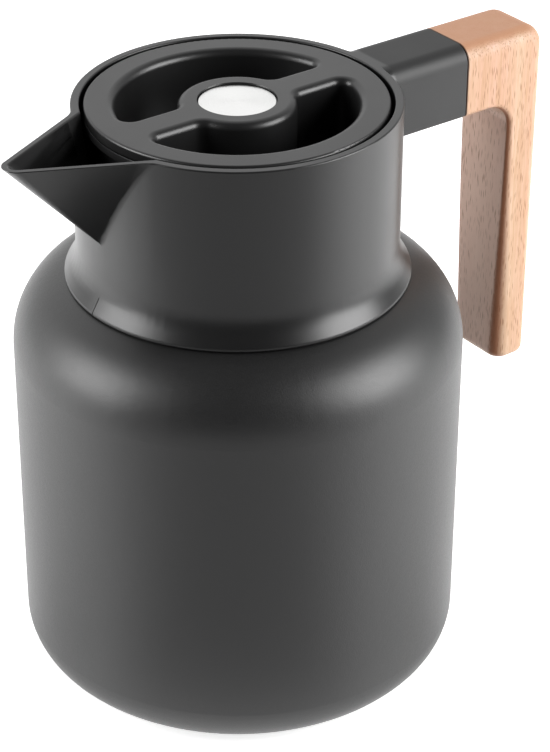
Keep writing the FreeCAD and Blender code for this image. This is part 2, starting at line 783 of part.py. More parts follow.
def build_turn_grip():
    """Turning half of the stopper: top with finger wells, disc, screw and drive."""
    body = new_body("turn_grip")
    turned(body, "grip_cup", [
        ("0", "drive_top"),
        ("spindle_radius", "drive_top"),
        ("spindle_radius", "cup_low"),
        ("cup_radius", "cup_low"),
        ("cup_radius", "cover_low"),
        ("lid_radius", "cover_low"),
        ("lid_radius", "rim_height", "cover_round"),
        ("0", "rim_height"),
    ])
    ring = circles(body, "well_plan", "XY_Plane", [
        ("0", "0", "well_radius"), ("0", "0", "hub_radius")], "rim_height")
    feature(body, "Pocket", "well_ring", ring, Length="rim_height - well_floor")
    bar = outline(body, "bar_plan", "XY_Plane", rectangle(
        "-well_radius - cup_wall / 2", "well_radius + cup_wall / 2",
        "-bar_width / 2", "bar_width / 2"), "well_floor")
    bridge = feature(body, "Pad", "bar", bar, Length="rim_height - well_floor")
    half_bar = value("bar_width / 2")

    def upright(radius):
        def test(edge):
            spot = middle_of(edge)
            flat = same(edge.BoundBox.XLength, 0) and same(edge.BoundBox.YLength, 0)
            return flat and same(abs(spot.y), half_bar) and same(math.hypot(spot.x, spot.y), radius)
        return test
    blend = rounded(body, "hub_blends", bridge, "hub_blend", upright(value("hub_radius")))
    ends = rounded(body, "well_corners", blend, "well_corner", upright(value("well_radius")))
    rim = value("rim_height")
    limit = value("well_radius + cup_wall / 2")
    wells = rounded(body, "well_edges", ends, "well_edge_round", lambda edge: (
        is_level(edge, rim) and math.hypot(*middle_of(edge)[:2]) < limit))
    for name, radius, low, depth in (
            ("disc_recess_cut", "disc_radius + disc_gap", "rim_height", "disc_recess + disc_thickness"),
            ("screw_well", "grip_screw_head + disc_gap", "disc_seat", "grip_screw_depth"),
            ("screw_way", "grip_screw_radius + screw_clearance", "screw_seat", "screw_seat - drive_top")):
        plan = circles(body, name + "_plan", "XY_Plane", [("0", "0", radius)], low)
        feature(body, "Pocket", name, plan, Length=depth)
    simple_turned("lid_disc", [
        ("0", "disc_seat"),
        ("disc_radius", "disc_seat"),
        ("disc_radius", "disc_seat + disc_thickness", "disc_thickness / 3"),
        ("0", "disc_seat + disc_thickness"),
    ])
    simple_turned("grip_screw", [
        ("0", "drive_top - grip_screw_bite"),
        ("grip_screw_radius", "drive_top - grip_screw_bite"),
        ("grip_screw_radius", "screw_seat"),
        ("grip_screw_head", "screw_seat"),
        ("grip_screw_head", "screw_seat + grip_screw_head_height"),
        ("0", "screw_seat + grip_screw_head_height"),
    ])
    simple_turned("drive_screw", [
        ("0", "drive_low - drive_rod_length"),
        ("drive_rod_radius", "drive_low - drive_rod_length"),
        ("drive_rod_radius", "drive_low"),
        ("drive_flange_radius", "drive_low"),
        ("drive_flange_radius", "drive_top"),
        ("seal_outer", "drive_top"),
        ("seal_outer", "drive_top - seal_depth"),
        ("seal_inner", "drive_top - seal_depth"),
        ("seal_inner", "drive_top"),
        ("grip_screw_radius + screw_clearance", "drive_top"),
        ("grip_screw_radius + screw_clearance", "drive_top - grip_screw_bite - screw_clearance"),
        ("0", "drive_top - grip_screw_bite - screw_clearance"),
    ])
    simple_turned("spindle_seal", rectangle(
        "seal_inner + ring_clearance", "seal_outer - ring_clearance",
        "drive_top - seal_depth", "deck_low - seal_gap"))


def build_valve():
    """Valve that the drive screw pushes down: stem, insulated plug and seal."""
    stem = new_body("valve_stem")
    base = circles(stem, "base_plan", "XY_Plane", [("0", "0", "stem_base_radius")], "plug_top")
    feature(stem, "Pad", "stem_base", base, Length="stem_base_height")
    square = outline(stem, "stem_plan", "XY_Plane", centred("stem_side", "0", "stem_side"), "plug_top")
    feature(stem, "Pad", "stem_bar", square, Length="stem_top - plug_top")
    nut = circles(stem, "nut_plan", "XY_Plane", [("0", "0", "drive_rod_radius + stem_bore_gap")], "stem_top")
    feature(stem, "Pocket", "nut_bore", nut, Length="stem_top - plug_top - stem_floor")
    pilot = circles(stem, "pilot_plan", "XY_Plane", [
        ("0", "0", "valve_screw_radius + screw_clearance")], "plug_top")
    feature(stem, "Pocket", "pilot", pilot, Length="valve_screw_bite + screw_clearance", Reversed=True)
    simple_turned("valve_plug", [
        ("valve_screw_radius + screw_clearance", "plug_roof"),
        ("plug_inner", "plug_roof"),
        ("plug_inner", "plug_cap_top"),
        ("plug_radius", "plug_cap_top"),
        ("plug_radius", "plug_top"),
        ("valve_seal_outer", "plug_top"),
        ("valve_seal_outer", "valve_seal_low"),
        ("valve_seal_inner", "valve_seal_low"),
        ("valve_seal_inner", "plug_top"),
        ("valve_screw_radius + screw_clearance", "plug_top"),
    ])
    simple_turned("valve_seal", rectangle(
        "valve_seal_inner + ring_clearance", "valve_seal_outer - ring_clearance",
        "valve_seal_low", "plug_top + valve_seal_proud"))
    simple_turned("valve_foam", rectangle(
        "foam_hole", "plug_inner - foam_gap", "plug_cap_top", "plug_roof - foam_gap"))
    simple_turned("valve_cap", [
        ("0", "plug_low"),
        ("plug_radius", "plug_low", "plug_cap_round"),
        ("plug_radius", "plug_cap_top"),
        ("0", "plug_cap_top"),
    ])
    simple_turned("valve_screw", [
        ("0", "plug_roof - valve_screw_head_height"),
        ("valve_screw_head", "plug_roof - valve_screw_head_height"),
        ("valve_screw_head", "plug_roof"),
        ("valve_screw_radius", "plug_roof"),
        ("valve_screw_radius", "plug_top + valve_screw_bite"),
        ("0", "plug_top + valve_screw_bite"),
    ])


build_shell()
build_flask()
build_base()
build_collar()
build_neck()
build_handle()
build_stopper()
build_turn_grip()
build_valve()
doc.recompute()

CUTS = ("PartDesign::Pocket", "PartDesign::Groove", "PartDesign::SubtractiveLoft")
for item in doc.Objects:
    if "Invalid" in item.State or "Error" in item.State:
        raise RuntimeError(f"{item.Name} failed: {item.State}")
    if item.TypeId in CUTS and not item.Shape.Volume < item.BaseFeature.Shape.Volume - LEAST_CUT:
        raise RuntimeError(f"{item.Name} removes nothing")
os.makedirs("parts", exist_ok=True)
for item in PARTS:
    if item.Shape.isNull() or not item.Shape.isValid():
        raise RuntimeError(f"{item.Label} has no valid shape")
    item.Shape.exportStep(f"parts/{item.Label}.step")
    print(item.Label, round(item.Shape.Volume), len(item.Shape.Solids))
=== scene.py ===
"""Looks of a vacuum jug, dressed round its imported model.

Metres, in the model's own frame: the jug stands on z = 0 with its axis on Z,
its spout points along -X and its handle along +X.
"""
import logging
import math
from dataclasses import dataclass
from enum import Enum
from typing import Any, Callable, Sequence

import bmesh
import bpy
from mathutils import Matrix, Vector


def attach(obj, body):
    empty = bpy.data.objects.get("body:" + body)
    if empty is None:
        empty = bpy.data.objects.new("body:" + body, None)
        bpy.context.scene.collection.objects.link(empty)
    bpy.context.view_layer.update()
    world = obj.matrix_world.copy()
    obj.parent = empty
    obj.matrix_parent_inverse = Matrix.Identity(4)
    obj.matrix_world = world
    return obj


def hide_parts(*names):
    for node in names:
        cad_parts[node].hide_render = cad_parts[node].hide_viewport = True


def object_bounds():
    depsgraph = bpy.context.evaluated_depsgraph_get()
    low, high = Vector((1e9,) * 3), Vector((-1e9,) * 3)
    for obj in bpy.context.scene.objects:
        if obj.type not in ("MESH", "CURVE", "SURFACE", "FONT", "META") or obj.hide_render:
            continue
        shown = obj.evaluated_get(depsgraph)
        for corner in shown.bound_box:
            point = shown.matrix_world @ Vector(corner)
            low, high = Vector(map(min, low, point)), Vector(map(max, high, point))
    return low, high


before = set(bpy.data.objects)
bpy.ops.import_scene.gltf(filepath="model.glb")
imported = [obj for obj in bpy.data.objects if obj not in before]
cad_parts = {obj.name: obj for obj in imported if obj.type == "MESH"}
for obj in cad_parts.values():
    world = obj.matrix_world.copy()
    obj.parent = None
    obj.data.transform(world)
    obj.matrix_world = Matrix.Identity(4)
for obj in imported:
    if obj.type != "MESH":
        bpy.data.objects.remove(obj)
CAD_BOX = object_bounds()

LOG = logging.getLogger("vacuum_jug")

Color = tuple[float, float, float]
Point = tuple[float, float]
Node = bpy.types.Node
Socket = bpy.types.NodeSocket
Edge = bmesh.types.BMEdge
Face = bmesh.types.BMFace

MM = 0.001
WELD = 1e-6
FULL_TURN = 2 * math.pi
FLAT_ANGLE = math.radians(0.6)
EASED_ANGLE = math.radians(32)
SHARP_ANGLE = math.radians(40)
CLEAR_TURN = 30.0
RING_STEPS = 128
RIDGE_STEPS = 96

RISE: Point = (0.0, 1.0)
FALL: Point = (1.0, 0.0)
NOISE_BAND: Point = (0.3, 0.7)
WHITE: Color = (1.0, 1.0, 1.0)
UP = Vector((0, 0, 1))


class Body(Enum):
    """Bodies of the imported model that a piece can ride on."""

    JUG = "jug"
    STOPPER = "stopper"
    GRIP = "grip"
    VALVE = "valve"


class Slot(Enum):
    """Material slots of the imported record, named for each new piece."""

    COLLAR = "collar_plastic"
    NECK = "neck_plastic"
    STOPPER = "stopper_plastic"
    GRIP = "lid_plastic"
    DRIVE = "drive_plastic"
    SEAL = "seal_silicone"
    FOOT = "foot_silicone"
    BASE = "base_plastic"
    SCREW = "screw_steel"
    BEECH = "beech"


class Axis(Enum):
    """Axes of the model's frame, by their place in a vector."""

    X = 0
    Z = 2


class Part(Enum):
    """Kinds of mesh elements that a step can select."""

    EDGES = "EDGE"
    FACES = "FACE"


class Graph:
    """Short way to lay out the nodes of one material or world."""

    def __init__(self, tree: bpy.types.NodeTree) -> None:
        """Starts on an existing node tree."""
        self.tree = tree

    def node(self, kind: str, inputs: dict[Any, Any] | None = None, **settings: Any) -> Node:
        """Adds a node.

        Args:
            kind: node type without its "ShaderNode" prefix.
            inputs: sockets to link, or constants, by input name or index.
            settings: properties of the node itself.

        Returns:
            The new node.
        """
        made = self.tree.nodes.new("ShaderNode" + kind)
        for key, setting in settings.items():
            setattr(made, key, setting)
        self.wire(made, inputs or {})
        return made

    def wire(self, node: Node, inputs: dict[Any, Any]) -> None:
        """Feeds inputs of a node, by name or index, with sockets or constants."""
        for key, given in inputs.items():
            self.feed(node.inputs[key], given)

    def feed(self, socket: Socket, given: Any) -> None:
        """Links a socket to another one, or sets its constant.

        Args:
            socket: input to feed.
            given: output socket, number, colour or vector.
        """
        if isinstance(given, Socket):
            self.tree.links.new(given, socket)
        elif isinstance(given, tuple) and socket.type == "RGBA":
            socket.default_value = (*given, 1.0)
        else:
            socket.default_value = given

    def place(self) -> Socket:
        """Point on the piece, in the model's frame."""
        return self.node("TexCoord").outputs["Object"]

    def facing(self) -> Socket:
        """Normal of the surface."""
        return self.node("NewGeometry").outputs["Normal"]

    def split(self, given: Socket) -> Sequence[Socket]:
        """X, Y and Z of a vector."""
        return self.node("SeparateXYZ", {0: given}).outputs

    def math(self, operation: str, *terms: Any) -> Socket:
        """Arithmetic on one to three numbers or sockets."""
        return self.node("Math", dict(enumerate(terms)), operation=operation).outputs[0]

    def vector(self, operation: str, *terms: Any) -> Socket:
        """Arithmetic on vectors, a number for a dot product or a length."""
        made = self.node("VectorMath", dict(enumerate(terms)), operation=operation)
        return made.outputs["Value" if operation in ("DOT_PRODUCT", "LENGTH") else "Vector"]

    def upright(self, where: Socket, share: float) -> Socket:
        """Point with a share of its height, which draws a pattern out along Z."""
        return self.node("Mapping", {"Vector": where, "Scale": (1.0, 1.0, share)}).outputs[0]

    def noise(self, where: Socket, scale: float, detail: float = 2.0, rough: float = 0.5) -> Socket:
        """Soft noise from 0 to 1, at a scale in patches per metre."""
        inputs = {"Vector": where, "Scale": scale, "Detail": detail, "Roughness": rough}
        return self.node("TexNoise", inputs).outputs[0]

    def ranged(self, given: Socket, span: Sequence[Any], result: Point = RISE,
               smooth: bool = False) -> Socket:
        """Maps one span of values to another, clamped.

        Args:
            given: value to map.
            span: its lowest and highest value.
            result: values at these.
            smooth: eases in and out of the ends.

        Returns:
            The mapped value.
        """
        inputs = {"Value": given, "From Min": span[0], "From Max": span[1],
                  "To Min": result[0], "To Max": result[1]}
        kind = "SMOOTHSTEP" if smooth else "LINEAR"
        return self.node("MapRange", inputs, interpolation_type=kind).outputs[0]

    def mixed(self, share: Any, first: Any, second: Any) -> Socket:
        """Blend of two colours.

        Args:
            share: how much of the second.
            first: colour or socket.
            second: colour or socket.

        Returns:
            The blended colour.
        """
        made = self.node("Mix", {"Factor": share}, data_type="RGBA")
        color_inputs = (socket for socket in made.inputs if socket.type == "RGBA")
        for socket, given in zip(color_inputs, (first, second)):
            self.feed(socket, given)
        return next(socket for socket in made.outputs if socket.type == "RGBA")

    def bump(self, height: Socket, depth: float, strength: float = 1.0) -> Socket:
        """Normal bent by a relief from 0 to 1, with its depth in metres."""
        inputs = {"Height": height, "Distance": depth, "Strength": strength}
        return self.node("Bump", inputs).outputs[0]


def tinted(color: Color, factor: float) -> Color:
    """Colour made lighter or darker by a factor."""
    return tuple(channel * factor for channel in color)


@dataclass(frozen=True)
class Finish:
    """Base of the finishes: one shader and the nodes that vary it."""

    name: str
    color: Color
    roughness: float
    shades: Point = (1.0, 1.0)
    unevenness: Point = (-0.05, 0.05)

    def material(self) -> bpy.types.Material:
        """Builds the material once and hands it out after that.

        Returns:
            The finish's material.
        """
        found = bpy.data.materials.get(self.name)
        if found:
            return found
        made = bpy.data.materials.new(self.name)
        made.use_nodes = True
        shader = made.node_tree.nodes["Principled BSDF"]
        graph = Graph(made.node_tree)
        graph.feed(shader.inputs["Roughness"], self.roughness)
        self.lay(graph, shader)
        return made

    def tone(self, graph: Graph, share: Socket) -> Socket:
        """Colour that wanders between the finish's darker and lighter shade."""
        return graph.mixed(share, *(tinted(self.color, factor) for factor in self.shades))

    def uneven(self, graph: Graph, given: Socket, band: Point = NOISE_BAND) -> Socket:
        """Roughness that wanders round the finish's own, with a value in a band."""
        return graph.ranged(given, band, tuple(self.roughness + more for more in self.unevenness))

    def lay(self, graph: Graph, shader: Node) -> None:
        """Lays out what varies over the surface."""
        raise NotImplementedError


@dataclass(frozen=True)
class PowderCoat(Finish):
    """Matte powder coat: fine orange peel with a grain that breaks up highlights."""

    shades: Point = (0.8, 1.2)
    grain: float = 2600.0
    grain_depth: float = 0.03 * MM
    peel: float = 520.0
    peel_weight: float = 0.6
    mottle: float = 45.0
    mottle_band: Point = (0.6, 1.4)
    ior: float = 1.7
    sheen: float = 0.25
    sheen_roughness: float = 0.3

    def lay(self, graph: Graph, shader: Node) -> None:
        """Lays the grain, its roughness and a faint mottle."""
        where = graph.place()
        fine = graph.noise(where, self.grain, rough=0.6)
        peel = graph.noise(where, self.peel, detail=1.0)
        mottle = graph.math("ADD", fine, graph.noise(where, self.mottle, detail=3.0))
        relief = graph.math("MULTIPLY_ADD", peel, self.peel_weight, fine)
        graph.wire(shader, {
            "Base Color": self.tone(graph, graph.ranged(mottle, self.mottle_band)),
            "Roughness": self.uneven(graph, fine),
            "IOR": self.ior,
            "Sheen Weight": self.sheen,
            "Sheen Roughness": self.sheen_roughness,
            "Normal": graph.bump(relief, self.grain_depth),
        })


@dataclass(frozen=True)
class SatinPlastic(Finish):
    """Moulded plastic with a very fine spark texture and uneven sheen."""

    shades: Point = (0.88, 1.12)
    unevenness: Point = (-0.03, 0.03)
    texture: float = 3800.0
    texture_depth: float = 0.006 * MM
    flow: float = 30.0
    ior: float = 1.6

    def lay(self, graph: Graph, shader: Node) -> None:
        """Lays the mould's texture and the slow change of sheen."""
        where = graph.place()
        fine = graph.noise(where, self.texture, detail=1.0)
        flow = graph.noise(where, self.flow, detail=3.0, rough=0.6)
        graph.wire(shader, {
            "Base Color": self.tone(graph, flow),
            "Roughness": self.uneven(graph, flow),
            "IOR": self.ior,
            "Normal": graph.bump(fine, self.texture_depth),
        })


@dataclass(frozen=True)
class CollarPlastic(SatinPlastic):
    """Plastic of the collar: painted shade and a lower roughness inside the spout, coarser on the handle's
    arm.
    """

    spout_from: float = -45.0 * MM
    spout_low: float = 142.0 * MM
    spout_lean: Point = (0.02, 0.08)
    spout_level: Point = (0.90, 0.97)
    spout_roughness: float = 0.17
    # Painted shade: share of the satin's colour that the inside of the spout is darkened to.
    spout_painted_shade: float = 0.35
    arm_from: float = 47.0 * MM
    arm_roughness: float = 0.54
    blend: float = MM

    def lay(self, graph: Graph, shader: Node) -> None:
        """Lays the satin texture, then the painted shade and lower roughness inside the spout, and the
        coarser arm.
        """
        super().lay(graph, shader)
        satin, rough = (shader.inputs[name].links[0].from_socket for name in ("Base Color", "Roughness"))
        along, _, height = graph.split(graph.place())
        upward = graph.split(graph.facing())[Axis.Z.value]
        inside = graph.ranged(upward, self.spout_lean)
        for given, span, result in (
                (upward, self.spout_level, FALL),
                (along, (self.spout_from, self.spout_from - self.blend), RISE),
                (height, (self.spout_low, self.spout_low + self.blend), RISE)):
            inside = graph.math("MULTIPLY", inside, graph.ranged(given, span, result))
        arm = graph.ranged(along, (self.arm_from, self.arm_from + self.blend),
                           (0.0, self.arm_roughness - self.roughness))
        rough = graph.math("MULTIPLY_ADD", inside, self.spout_roughness - self.roughness, rough)
        # Painted shade darkens the base colour inside the spout; the roughness there is lowered too.
        graph.wire(shader, {
            "Base Color": graph.mixed(inside, satin, tinted(self.color, self.spout_painted_shade)),
            "Roughness": graph.math("ADD", rough, arm),
        })


@dataclass(frozen=True)
class Tone:
    """A colour that shows on part of the wood, up to a share, over a span of some value."""

    color: Color
    most: float
    band: Point

    def share(self, graph: Graph, given: Socket, smooth: bool = False) -> Socket:
        """How much of the colour shows at a value."""
        return graph.ranged(given, self.band, (0.0, self.most), smooth)


@dataclass(frozen=True)
class Beech(Finish):
    """Oiled beech with upright grain and short dark flecks, painted shade on its inner eased edges and in the
    seam, and a lighter pinker tone on its radial faces that is partly painted light.
    """

    unevenness: Point = (-0.05, 0.06)
    pink: Tone = Tone((0.74, 0.45, 0.32), 1.0, (0.38, 0.62))
    late: Tone = Tone((0.60, 0.34, 0.19), 0.8, (0.68, 1.22))
    # Partly painted light: lighter, pinker tone on the ±X faces, partly beech's radial figure and partly
    # standing in for bounce light on the inner face.
    radial_figure_and_painted_light: Tone = Tone((0.86, 0.60, 0.50), 0.75, (0.80, 0.99))
    fleck: Tone = Tone((0.36, 0.15, 0.06), 0.8, (0.10, 0.50))
    end: Tone = Tone((0.57, 0.28, 0.155), 0.9, (0.55, 0.92))
    # Painted shade: dark brown on the eased vertical edges of the inner side.
    edge: Tone = Tone((0.34, 0.11, 0.04), 0.85, (0.06, 0.40))
    edge_end: Point = (0.60, 0.98)
    edge_inner: Point = (-0.35, -0.1)
    # Painted shade: the wood darkened in the seam against the arm.
    seam_painted_shade: Color = (0.06, 0.025, 0.012)
    seam_most: float = 0.9
    seam_x: float = 74.17 * MM
    seam_width: float = 0.5 * MM
    sway: float = 60.0
    sway_reach: float = 2.0 * MM
    rings: float = 300.0
    fibres: float = 1700.0
    fibre_weight: float = 0.9
    fibre_relief: float = 0.35
    streaks: float = 150.0
    dashes: float = 2300.0
    dash_rim: Point = (0.16, 0.42)
    relief_depth: float = 0.05 * MM
    relief_strength: float = 0.6

    def lay(self, graph: Graph, shader: Node) -> None:
        """Lays the year rings, fibres, flecks and end grain, the painted shade on the inner edges and in the
        seam, and the radial faces' tone, partly painted light.
        """
        where = graph.place()
        sway = graph.node("TexNoise", {"Vector": graph.upright(where, 0.25), "Scale": self.sway})
        bend = (self.sway_reach, self.sway_reach, 0.0)
        bent = graph.vector("MULTIPLY_ADD", sway.outputs["Color"], bend, where)
        rings = graph.noise(graph.upright(bent, 0.04), self.rings, detail=3.0, rough=0.6)
        fibres = graph.noise(graph.upright(bent, 0.05), self.fibres)
        streaks = graph.noise(graph.upright(bent, 0.02), self.streaks, detail=1.0)
        late = self.late.share(graph, graph.math("MULTIPLY_ADD", fibres, self.fibre_weight, rings))
        flecks = self.flecks(graph, bent)
        normal = graph.facing()
        across, aside, upward = graph.split(graph.vector("ABSOLUTE", normal))
        # Painted shade on the eased vertical edges, kept to the inner side by inner.
        edge = graph.math("MULTIPLY", self.edge.share(graph, aside, smooth=True),
                          graph.ranged(aside, self.edge_end, FALL, smooth=True))
        inner = graph.ranged(graph.split(normal)[Axis.X.value], self.edge_inner, FALL)
        # Painted shade in the seam, where the wood meets the arm.
        seam = graph.ranged(graph.split(where)[Axis.X.value],
                            (self.seam_x + self.seam_width / 2, self.seam_x + self.seam_width), FALL)
        wood = self.color
        for share, color in (
                (self.pink.share(graph, streaks), self.pink.color),
                (late, self.late.color),
                # Partly painted light: radial figure plus a stand-in for bounce light on the ±X faces.
                (self.radial_figure_and_painted_light.share(graph, across, smooth=True), self.radial_figure_and_painted_light.color),
                (graph.math("MULTIPLY", flecks, self.fleck.most), self.fleck.color),
                (self.end.share(graph, upward, smooth=True), self.end.color),
                (graph.math("MULTIPLY", edge, inner), self.edge.color),
                (graph.math("MULTIPLY", seam, self.seam_most), self.seam_painted_shade)):
            wood = graph.mixed(share, wood, color)
        relief = graph.math("SUBTRACT", graph.math("MULTIPLY", fibres, self.fibre_relief), flecks)
        graph.wire(shader, {
            "Base Color": wood,
            "Roughness": self.uneven(graph, late, RISE),
            "Normal": graph.bump(relief, self.relief_depth, self.relief_strength),
        })

    def flecks(self, graph: Graph, where: Socket) -> Socket:
        """Short dashes along the grain.

        Args:
            graph: the material's nodes.
            where: point on the wood.

        Returns:
            One on a dash and zero beside it.
        """
        cells = graph.node("TexVoronoi", {"Vector": graph.upright(where, 0.10), "Scale": self.dashes})
        drawn = graph.node("SeparateColor", {0: cells.outputs["Color"]}).outputs[0]
        dash = graph.ranged(cells.outputs["Distance"], self.dash_rim, FALL, smooth=True)
        return graph.math("MULTIPLY", dash, graph.ranged(drawn, self.fleck.band))


class Lay(Enum):
    """Way that the marks run round the axis."""

    CIRCLES = "circles on a flat face"
    HOOPS = "hoops on a wall"


@dataclass(frozen=True)
class Steel(Finish):
    """Stainless steel with fine marks from turning or brushing."""

    shades: Point = (0.94, 1.0)
    unevenness: Point = (-0.04, 0.05)
    lay_of_marks: Lay = Lay.HOOPS
    marks: float = 9000.0
    mark_weight: float = 0.5
    mark_depth: float = 0.004 * MM
    cloud: float = 40.0
    cloud_band: Point = (0.5, 1.0)
    anisotropy: float = 0.55

    def lay(self, graph: Graph, shader: Node) -> None:
        """Lays the marks and the sheen that runs along them."""
        where = graph.place()
        across, deep, along = graph.split(where)
        if self.lay_of_marks is Lay.CIRCLES:
            flat = graph.node("CombineXYZ", {0: across, 1: deep}).outputs[0]
            along = graph.vector("LENGTH", flat)
            tangent = graph.node("Tangent", direction_type="RADIAL", axis="Z").outputs[0]
            graph.wire(shader, {"Tangent": tangent, "Anisotropic": self.anisotropy})
        lines = graph.node("TexNoise", {"W": along, "Scale": self.marks, "Detail": 3.0},
                           noise_dimensions="1D").outputs[0]
        tone = graph.math("MULTIPLY_ADD", lines, self.mark_weight, graph.noise(where, self.cloud))
        graph.wire(shader, {
            "Base Color": self.tone(graph, graph.ranged(tone, self.cloud_band)),
            "Metallic": 1.0,
            "Roughness": self.uneven(graph, lines),
            "Normal": graph.bump(lines, self.mark_depth, self.mark_weight),
        })


@dataclass(frozen=True)
class Silicone(Finish):
    """Silicone rubber: soft sheen, dusty tone."""

    shades: Point = (0.9, 1.08)
    dust: float = 150.0
    glow: float = 0.2
    glow_depth: float = 1.5 * MM
    grain: float = 2500.0
    grain_depth: float = 0.008 * MM

    def lay(self, graph: Graph, shader: Node) -> None:
        """Lays the dusty tone and the softness under the skin."""
        where = graph.place()
        dust = graph.noise(where, self.dust, detail=4.0, rough=0.6)
        graph.wire(shader, {
            "Base Color": self.tone(graph, dust),
            "Subsurface Weight": self.glow,
            "Subsurface Scale": self.glow_depth,
            "Roughness": self.uneven(graph, dust),
            "Normal": graph.bump(graph.noise(where, self.grain), self.grain_depth),
        })


@dataclass(frozen=True)
class Foam(Finish):
    """Insulating foam with small open cells."""

    shades: Point = (0.8, 1.0)
    cells: float = 1400.0
    cell_depth: float = 0.2 * MM

    def lay(self, graph: Graph, shader: Node) -> None:
        """Lays the cells."""
        cells = graph.node("TexVoronoi", {"Vector": graph.place(), "Scale": self.cells}).outputs["Distance"]
        graph.wire(shader, {
            "Base Color": self.tone(graph, cells),
            "Normal": graph.bump(cells, self.cell_depth),
        })


SHELL_COAT = PowderCoat("powder_coat", (0.0060, 0.0060, 0.0062), 0.44)
COLLAR_SATIN = CollarPlastic("collar_satin", (0.0090, 0.0090, 0.0092), 0.33)
LID_SATIN = SatinPlastic("lid_satin", (0.0095, 0.0095, 0.0097), 0.36)
STOPPER_SATIN = SatinPlastic("stopper_satin", (0.0140, 0.0140, 0.0143), 0.38)
NECK_SATIN = SatinPlastic("neck_satin", (0.0150, 0.0150, 0.0153), 0.40)
BASE_SPARK = SatinPlastic("base_spark", (0.0140, 0.0140, 0.0143), 0.55,
                          texture=1800.0, texture_depth=0.03 * MM)
DRIVE_WHITE = SatinPlastic("drive_white", (0.72, 0.72, 0.69), 0.32)
BEECH = Beech("beech_oiled", (0.74, 0.51, 0.35), 0.48)
DISC_STEEL = Steel("disc_brushed", (0.88, 0.88, 0.87), 0.30, lay_of_marks=Lay.CIRCLES)
FLASK_STEEL = Steel("flask_steel_turned", (0.66, 0.66, 0.64), 0.24, marks=2600.0)
SCREW_ZINC = Steel("screw_zinc", (0.68, 0.68, 0.66), 0.26)
GETTER_GREY = Steel("getter_grey", (0.40, 0.40, 0.41), 0.5)
BEAD_GREY = Steel("bead_grey", (0.55, 0.55, 0.55), 0.38)
SEAL_WHITE = Silicone("seal_white", (0.66, 0.66, 0.63), 0.42)
FOOT_BLACK = Silicone("foot_black", (0.018, 0.018, 0.018), 0.66, glow=0.0)
FOAM_WHITE = Foam("foam_white", (0.82, 0.81, 0.76), 0.8)

NODE_FINISHES: dict[Finish, tuple[str, ...]] = {
    SHELL_COAT: ("outer_shell",),
    FLASK_STEEL: ("inner_flask", "base_pan"),
    GETTER_GREY: ("getter",),
    BEAD_GREY: ("seal_bead",),
    BASE_SPARK: ("base_cap",),
    FOOT_BLACK: ("foot_pad",),
    COLLAR_SATIN: ("collar",),
    NECK_SATIN: ("neck_ring",),
    SEAL_WHITE: ("neck_gasket", "collar_gasket", "stopper_gasket", "spindle_seal", "valve_seal"),
    BEECH: ("handle_grip",),
    SCREW_ZINC: ("handle_screws", "grip_screw", "valve_screw"),
    STOPPER_SATIN: ("stopper_cup", "stopper_tube", "valve_plug", "valve_cap"),
    DRIVE_WHITE: ("stem_guide", "drive_screw", "valve_stem"),
    LID_SATIN: ("turn_grip",),
    DISC_STEEL: ("lid_disc",),
    FOAM_WHITE: ("valve_foam",),
}


def dress_nodes() -> None:
    """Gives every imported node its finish."""
    for finish, nodes in NODE_FINISHES.items():
        for node in nodes:
            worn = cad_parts[node].data.materials
            worn.clear()
            worn.append(finish.material())
            LOG.info("node %s wears %s", node, finish.name)


def middle(edge: Edge) -> Vector:
    """Point half-way along an edge."""
    return (edge.verts[0].co + edge.verts[1].co) / 2


def reach(point: Vector) -> float:
    """Distance of a point from the jug's axis."""
    return math.hypot(point.x, point.y)


def turn_at(edge: Edge) -> float:
    """Degrees that the surface turns by at an edge, negative where it is hollow."""
    return math.degrees(edge.calc_face_angle_signed(0.0))


def lies_at(part: Edge | Face, axis: Axis, place: float) -> bool:
    """True for an edge or a face with every corner at one place along an axis."""
    return all(abs(corner.co[axis.value] - place) < WELD for corner in part.verts)


